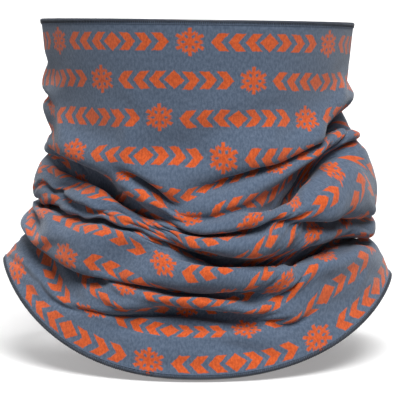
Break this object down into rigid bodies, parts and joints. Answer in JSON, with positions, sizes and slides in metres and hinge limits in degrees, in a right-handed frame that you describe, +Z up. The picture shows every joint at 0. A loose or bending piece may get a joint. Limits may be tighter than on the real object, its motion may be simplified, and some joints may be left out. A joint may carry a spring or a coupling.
{
  "type": "neck gaiter",
  "caption": "Tubular stretch-knit neck gaiter in its worn shape: a smooth collar over gathered folds and a drape that spreads over the shoulders.",
  "frame": {"origin": "on the tube's vertical axis, level with the lowest point of the hem", "axes": "+Z up towards the rim, -Y towards the wearer's front, +X towards the wearer's left shoulder"},
  "size_m": [0.2182, 0.1746, 0.2031],
  "materials": {
    "jersey": "matte heather jersey with an all-over print",
    "edge_thread": "matte textured thread",
    "seam_thread": "matte textured thread",
    "label_satin": "satin woven ribbon"
  },
  "bodies": {
    "drape": {"drape_fabric": "jersey", "drape_seam_thread": "seam_thread", "hem_looper_thread": "edge_thread", "hem_needle_thread": "seam_thread", "label_bar_tack": "seam_thread"},
    "lower_fold": {"lower_fold_fabric": "jersey", "lower_fold_seam_thread": "seam_thread"},
    "middle_fold": {"middle_fold_fabric": "jersey", "middle_fold_seam_thread": "seam_thread"},
    "upper_fold": {"upper_fold_fabric": "jersey", "upper_fold_seam_thread": "seam_thread"},
    "collar": {"collar_fabric": "jersey", "collar_seam_thread": "seam_thread", "rim_looper_thread": "edge_thread", "rim_needle_thread": "seam_thread"},
    "label": {"care_label": "label_satin"}
  },
  "joints": [
    {"name": "collar_pull_up", "type": "slide", "parent": "drape", "child": "collar", "axis": [0, 0, 1], "range_m": [0, 0.045]},
    {"name": "upper_fold_opening", "type": "slide", "parent": "drape", "child": "upper_fold", "axis": [0, 0, 1], "range_m": [0, 0.03375]},
    {"name": "middle_fold_opening", "type": "slide", "parent": "drape", "child": "middle_fold", "axis": [0, 0, 1], "range_m": [0, 0.0225]},
    {"name": "lower_fold_opening", "type": "slide", "parent": "drape", "child": "lower_fold", "axis": [0, 0, 1], "range_m": [0, 0.01125]},
    {"name": "label_turn", "type": "hinge", "parent": "drape", "child": "label", "pos_m": [0, 0.07309, 0.00784], "axis": [0, 0, -1], "range_deg": [0, 150]}
  ],
  "couplings": [
    {"joint": "upper_fold_opening", "follows": "collar_pull_up", "ratio": 0.75},
    {"joint": "middle_fold_opening", "follows": "collar_pull_up", "ratio": 0.5},
    {"joint": "lower_fold_opening", "follows": "collar_pull_up", "ratio": 0.25}
  ]
}
